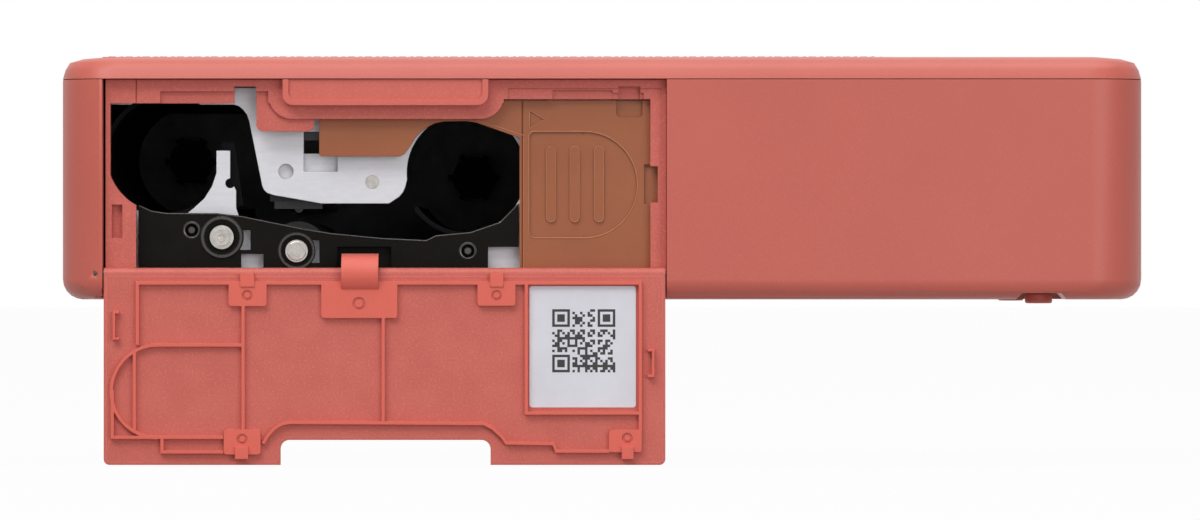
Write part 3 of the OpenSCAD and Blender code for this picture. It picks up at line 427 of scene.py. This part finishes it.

# The bead along the door's border, lighter than the door as a painted highlight along its edge, its sizes in
# millimetres.
DOOR_LEFT, DOOR_RIGHT, DOOR_TOP, DOOR_FOOT, DOOR_R = -66.1, 8.4, 3.0, -21.8, 0.5
NOTCH_LEFT, NOTCH_RIGHT, NOTCH_TOP, NOTCH_R = -43.15, -14.3, -18.45, 1.6
CORAL_EDGE_HIGHLIGHT = finish("coral_bead_highlight", (0.66, 0.16, 0.12), (0.72, 0.19, 0.15), 0.42, grain=4200, depth=0.03,
                    drift=200)
bead("door_border_highlight_bead", millimetres(
    [(DOOR_LEFT, DOOR_TOP), (DOOR_RIGHT, DOOR_TOP)]
    + arc((DOOR_RIGHT - DOOR_R, DOOR_FOOT + DOOR_R), DOOR_R, 0, -90, 4)
    + arc((NOTCH_RIGHT + DOOR_R, DOOR_FOOT + DOOR_R), DOOR_R, -90, -180, 4)
    + arc((NOTCH_RIGHT - NOTCH_R, NOTCH_TOP - NOTCH_R), NOTCH_R, 0, 90)
    + arc((NOTCH_LEFT + NOTCH_R, NOTCH_TOP - NOTCH_R), NOTCH_R, 90, 180)
    + arc((NOTCH_LEFT - DOOR_R, DOOR_FOOT + DOOR_R), DOOR_R, 0, -90, 4)
    + arc((DOOR_LEFT + DOOR_R, DOOR_FOOT + DOOR_R), DOOR_R, -90, -180, 4)),
    SIDE_Y, 0.00005, "ink_door", CORAL_EDGE_HIGHLIGHT, closed=True)
softened("feet", CORAL, radius=0.00025)

# The fine raised field on the cover: rows of low moulded pads, a long one and a
# short one in turn, every second row shifted. Seen from the side it is a dashed line.
PAD_PITCH = 0.0023
ROW_PITCH = 0.0019
PAD_HEIGHT = 0.00011
FIELD_X = (-0.0669, 0.03955)
FIELD_Y = (-0.0445, 0.0445)
FIELD_Z = 0.0326
LONG_PAD = (0.00068, 0.00042)
SHORT_PAD = (0.0003, 0.0003)
SHORT_PAD_STEP = 0.00128
PAD_TOP_SHARE = 0.72


def pad_field(name):
    """Every pad is an eight-sided low mound: a foot ring and a smaller top ring, closed by one face."""
    columns = np.arange(FIELD_X[0] + 0.0012, FIELD_X[1] - 0.0018, PAD_PITCH)
    rows = np.arange(FIELD_Y[0] + 0.001, FIELD_Y[1] - 0.001, ROW_PITCH)
    x, y = np.meshgrid(columns, rows)
    x = x + (np.arange(len(rows)) % 2)[:, None] * PAD_PITCH / 2
    pads = np.concatenate([
        np.stack([x + shift, y, np.full_like(x, half_x), np.full_like(x, half_y)], -1).reshape(-1, 4)
        for shift, (half_x, half_y) in ((0.0, LONG_PAD), (SHORT_PAD_STEP, SHORT_PAD))])
    turn = np.linspace(0, 2 * np.pi, 8, endpoint=False) + np.pi / 8
    ring = np.stack([np.cos(turn), np.sin(turn)], -1)
    foot = pads[:, None, :2] + ring * pads[:, None, 2:]
    top = pads[:, None, :2] + ring * pads[:, None, 2:] * PAD_TOP_SHARE
    low = np.full(foot.shape[:2] + (1,), FIELD_Z)
    points = np.concatenate([np.concatenate([foot, low], -1), np.concatenate([top, low + PAD_HEIGHT], -1)], 1)
    count = len(pads)
    base = (np.arange(count) * 16)[:, None, None]
    k = np.arange(8)
    side = np.stack([k, (k + 1) % 8, (k + 1) % 8 + 8, k + 8], -1)[None] + base
    caps = (np.arange(8, 16)[None] + base[:, 0]).tolist()
    mesh = bpy.data.meshes.new(name)
    mesh.from_pydata(points.reshape(-1, 3).tolist(), [], side.reshape(-1, 4).tolist() + caps)
    return mesh


add_piece("cover_pad_field", pad_field("cover_pad_field"), "case", CORAL, smooth=False)

# The metal of the print engine: near plate, spool bracket, head arm, motor and
# socket in zinc-coated sheet with a faint rolled grain, the plate, brace and pins
# in the dark behind them in steel painted near-black as painted shade, and turned screws and pivots.
ZINC = finish("zinc_sheet", (0.62, 0.62, 0.655), (0.70, 0.70, 0.735), 0.45, grain=2600, depth=0.05, drift=500,
              metal=0.25, stretch=(1, 1, 4), fine_mix=0.4)
# Painted shade: the steel behind the near plate is painted near-black.
STEEL_IN_SHADE = finish("shaded_steel", (0.05, 0.05, 0.05), (0.08, 0.08, 0.08), 0.5, grain=2600, depth=0.04,
                    drift=300, metal=0.6)
TURNED = finish("turned_steel", (0.36, 0.34, 0.31), (0.60, 0.57, 0.54), 0.24, grain=5000, depth=0.05,
                drift=900, metal=0.85, fine_mix=0.4)
softened("near_plate", ZINC, radius=0.00007)
softened("ribbon_bracket", ZINC, radius=0.00006)


dress(STEEL_IN_SHADE, "far_plate", "cross_brace", "pinch_roller", "pickup_shaft", "idler_pins", "door_pins")
dress(TURNED, "head_pivot", "flap_pins", "case_screws", "motor_screws", "board_screws")
dress(ZINC, "usb_socket", "drive_motor", "head_arm")

# The black mouldings: lower frame with the rollers' bearings, cassette guide with
# both spool chambers, and the small holders, in a plastic with a faint satin.
BLACK = finish("black_moulding", (0.0035, 0.003, 0.0026), (0.008, 0.007, 0.006), 0.5, grain=3000, depth=0.08,
               drift=200, fine_mix=0.4, specular=0.07, edge=0.00016)
# Black plastic darkened further as painted shade for the deep spool chambers, on the guide, hubs, brake,
# bearings and bushes.
LINER_IN_SHADE = finish("chamber_black_and_shade", (0.002, 0.002, 0.002), (0.004, 0.004, 0.004), 0.5, grain=3000, depth=0.03,
               drift=200, specular=0.06)
softened("lower_frame", BLACK, smooth=False)
softened("cassette_guide", LINER_IN_SHADE, smooth=False)
dress(LINER_IN_SHADE, "pinch_bearings", "takeup_hub", "supply_hub", "supply_brake", "roller_bushes")
dress(BLACK, "paper_guide", "guide_cover")
# A lighter, glossier black: its lighter colour is a painted highlight on the frame's rim, the bearing lips
# and the studs.
BLACK_HIGHLIGHT = finish("black_rim_highlight", (0.022, 0.020, 0.018), (0.036, 0.033, 0.030), 0.28, grain=3000, depth=0.03,
                   drift=200, specular=0.6)
FRAME_Y = -0.0472
CAPSTAN = (-0.0508, 0.00835)
PLATEN = (-0.04075, 0.0065)
bead("frame_rim_highlight_bead", millimetres([
    (-61.9, 12.55), (-60.2, 11.8), (-58.15, 11.5), (-51.5, 11.5), (-48.15, 11.1), (-40.1, 9.45), (-36.1, 8.8),
    (-29.4, 8.15), (-23.35, 7.85), (-22.05, 8.5), (-17.35, 8.95), (-13.4, 10.3), (-11.05, 12.7)]),
    FRAME_Y, 0.00011, "case", BLACK_HIGHLIGHT)
LIPS = (("capstan_lip", CAPSTAN, 0.00235, 0.0029), ("platen_lip", PLATEN, 0.0021, 0.00255))
STUDS = (("left_stud", (-0.05485, 0.0093), BLACK_HIGHLIGHT), ("right_stud", (-0.01775, 0.0065), STEEL_IN_SHADE))
for label, centre, inner, outer in LIPS:
    turned(label, centre, [
        (inner, FRAME_Y + 0.0001), (inner, FRAME_Y - 0.0002), (inner + 0.0001, FRAME_Y - 0.0003),
        (outer - 0.00015, FRAME_Y - 0.0003), (outer, FRAME_Y - 0.0001), (outer, FRAME_Y + 0.0001)],
        "case", BLACK_HIGHLIGHT)
for label, centre, post in STUDS:
    turned(label + "_rim", centre, [
        (0.0009, FRAME_Y + 0.0001), (0.0009, FRAME_Y - 0.00008), (0.00105, FRAME_Y - 0.00012),
        (0.0012, FRAME_Y), (0.0012, FRAME_Y + 0.0001)], "case", BLACK_HIGHLIGHT)
    turned(label + "_post", centre, [
        (0, FRAME_Y + 0.0013), (0.0005, FRAME_Y + 0.0013), (0.0005, FRAME_Y + 0.0002),
        (0.0004, FRAME_Y + 0.0001), (0, FRAME_Y + 0.0001)], "case", post)

# The eject lever, a brown sliding moulding with a thumb pad, three grip ribs and
# an arm that reaches over the right spool chamber.
BROWN = finish("brown_moulding", (0.295, 0.082, 0.026), (0.335, 0.100, 0.032), 0.42, grain=4200, depth=0.06,
               drift=120, fine_mix=0.3, edge=0.00016)
softened("eject_lever", BROWN, smooth=False)
# The lips are a lighter brown than the lever: a painted highlight along the pad, grip ribs, arrow and edge.
BROWN_LIP_HIGHLIGHT = finish("brown_lip_highlight", (0.43, 0.155, 0.065), (0.50, 0.19, 0.085), 0.36, grain=4200, depth=0.03,
                   drift=200)
LEVER_Y = -0.04775


def lever_lip(name, path, radius, closed=True):
    """A fine round lip on the lever's face, along points in millimetres, lighter than the lever as a painted
    highlight.
    """
    bead(name, millimetres(path), LEVER_Y, radius, "eject_lever", BROWN_LIP_HIGHLIGHT,
         closed=closed)


PAD_LEFT, PAD_TOP, PAD_FOOT, PAD_CENTRE_X, PAD_R, PAD_CORNER = -9.55, 22.55, 8.25, -2.1, 7.15, 0.7
lever_lip("thumb_pad_lip",
          arc((PAD_CENTRE_X, (PAD_TOP + PAD_FOOT) / 2), PAD_R, -90, 90, 24)
          + arc((PAD_LEFT + PAD_CORNER, PAD_TOP - PAD_CORNER), PAD_CORNER, 90, 180, 5)
          + arc((PAD_LEFT + PAD_CORNER, PAD_FOOT + PAD_CORNER), PAD_CORNER, 180, 270, 5), 0.00009)
GRIP_CENTRES, GRIP_FOOT, GRIP_TOP, GRIP_HALF = (-6.6, -3.4, -0.15), 10.4, 20.55, 0.62
for number, centre in enumerate(GRIP_CENTRES):
    lever_lip("grip_rib_lip_%d" % number,
              arc((centre, GRIP_TOP - GRIP_HALF), GRIP_HALF, 0, 180, 12)
              + arc((centre, GRIP_FOOT + GRIP_HALF), GRIP_HALF, 180, 360, 12), 0.00006)
lever_lip("arrow_lip", [(-9.45, 22.95), (-9.45, 25.4), (-7.4, 24.15)], 0.00006)
lever_lip("lever_edge_lip", [(-10.25, 4.1), (-10.25, 22.0), (-13.2, 23.0), (-16.65, 24.1)], 0.00008,
          closed=False)

# The rollers: steel capstan and shafts with turned ends, and rubber sleeves.
RUBBER = finish("ground_rubber", (0.012, 0.012, 0.012), (0.02, 0.02, 0.02), 0.75, grain=4000, depth=0.12,
                drift=150)
dress(TURNED, "capstan_shaft", "platen_shaft")
SHAFT_FACE = -0.0475
turned("capstan_end", CAPSTAN, [
    (0, SHAFT_FACE + 0.0003), (0.00028, SHAFT_FACE + 0.0003), (0.00036, SHAFT_FACE - 0.00004),
    (0.00056, SHAFT_FACE - 0.00005), (0.0007, SHAFT_FACE + 0.00018), (0.00088, SHAFT_FACE + 0.00018),
    (0.00098, SHAFT_FACE - 0.00005), (0.00118, SHAFT_FACE - 0.00005), (0.00126, SHAFT_FACE + 0.00010),
    (0.00138, SHAFT_FACE + 0.00004), (0.00159, SHAFT_FACE + 0.00022), (0.00159, SHAFT_FACE + 0.0004),
    (0, SHAFT_FACE + 0.0004)], "capstan", TURNED)
turned("platen_end", PLATEN, [
    (0, SHAFT_FACE + 0.00004), (0.0012, SHAFT_FACE + 0.00004), (0.00149, SHAFT_FACE + 0.00022),
    (0.00149, SHAFT_FACE + 0.0004), (0, SHAFT_FACE + 0.0004)], "platen", TURNED)
dress(RUBBER, "platen_sleeve", "pickup_roller")

# The print head: glazed strip on its bar, with a finned aluminium sink behind, both painted near-black as
# painted shade.
GLAZE_IN_SHADE = finish("glazed_strip_in_shade", (0.004, 0.004, 0.004), (0.007, 0.007, 0.007), 0.3, grain=1500, depth=0.02,
               drift=200)
SINK_IN_SHADE = finish("sink_aluminium", (0.02, 0.02, 0.02), (0.035, 0.035, 0.035), 0.4, grain=3000, depth=0.04,
              drift=200, metal=0.7)
dress(GLAZE_IN_SHADE, "thermal_head")
dress(SINK_IN_SHADE, "heat_sink")

# The gear train behind the far plate, in ivory acetal.
ACETAL = finish("ivory_acetal", (0.62, 0.58, 0.48), (0.70, 0.67, 0.57), 0.45, grain=2500, depth=0.04,
                drift=150)
dress(ACETAL, "capstan_gear", "motor_pinion", "idler_gear_a", "idler_gear_b", "idler_gear_c", "takeup_gear")

# The electronics: two boards under green mask, their parts, the wrapped cell, and
# the button with its light pipe, both in one pale grey.
MASK = finish("solder_mask", (0.01, 0.07, 0.03), (0.02, 0.11, 0.05), 0.35, grain=1200, depth=0.05, drift=400)
CHIP = finish("chip_resin", (0.015, 0.015, 0.015), (0.03, 0.03, 0.03), 0.5, grain=4000, depth=0.08, drift=200)
WRAP = finish("cell_wrap", (0.07, 0.08, 0.10), (0.10, 0.11, 0.13), 0.35, grain=1000, depth=0.03, drift=100)
CAP = finish("button_cap", (0.70, 0.70, 0.69), (0.76, 0.76, 0.75), 0.35, grain=5000, depth=0.03, drift=100)
dress(MASK, "main_board", "button_board")
dress(CHIP, "board_parts", "power_switch")
dress(WRAP, "battery")
dress(CAP, "power_button", "status_lens")

# The label on the door: a satin film that carries a generic square of cells, laid
# out by a formula, with three framed squares at its corners.
FILM = finish("label_film", (0.66, 0.66, 0.72), (0.72, 0.72, 0.78), 0.5, grain=1800, depth=0.03, drift=200)
PRINT = finish("label_print", (0.012, 0.012, 0.012), (0.022, 0.022, 0.021), 0.5, grain=1800, depth=0.02,
               drift=200)
dress(FILM, "door_label")
CODE_CELLS = 25
CODE_SIDE = 0.00845
CODE_LEFT = -0.0064
CODE_TOP = -0.0013
LABEL_FACE = SIDE_Y - 0.00008
PRINT_HEIGHT = 0.00001


def framed(i, j):
    """True or False inside the three corner squares, and None elsewhere."""
    for corner_i, corner_j in ((0, 0), (CODE_CELLS - 7, 0), (0, CODE_CELLS - 7)):
        reach = max(abs(i - corner_i - 3), abs(j - corner_j - 3))
        if reach <= 3:
            return reach != 2
        if reach == 4:
            return False
    return None


def code_cells(name):
    """Every dark cell is a flat closed block on the film."""
    cell = CODE_SIDE / CODE_CELLS
    dark = []
    for i in range(CODE_CELLS):
        for j in range(CODE_CELLS):
            shown = framed(i, j)
            if shown is None:
                shown = math.sin(12.9898 * i + 78.233 * j + 1.7 * i * j) > 0.05
            if shown:
                dark.append((i, j))
    cube = np.array([(x, y, z) for x in (0, 1) for y in (0, 1) for z in (0, 1)], float)
    size = np.array([cell, PRINT_HEIGHT, cell])
    start = np.array([(CODE_LEFT + i * cell, LABEL_FACE - PRINT_HEIGHT, CODE_TOP - (j + 1) * cell)
                      for i, j in dark])
    points = (start[:, None] + cube[None] * size).reshape(-1, 3)
    sides = [(0, 1, 3, 2), (4, 6, 7, 5), (0, 4, 5, 1), (2, 3, 7, 6), (0, 2, 6, 4), (1, 5, 7, 3)]
    faces = [tuple(8 * k + v for v in side) for k in range(len(dark)) for side in sides]
    mesh = bpy.data.meshes.new(name)
    mesh.from_pydata(points.tolist(), [], faces)
    return mesh


add_piece("label_cells", code_cells("label_cells"), BODY_OF["door_label"], PRINT,
          smooth=False)
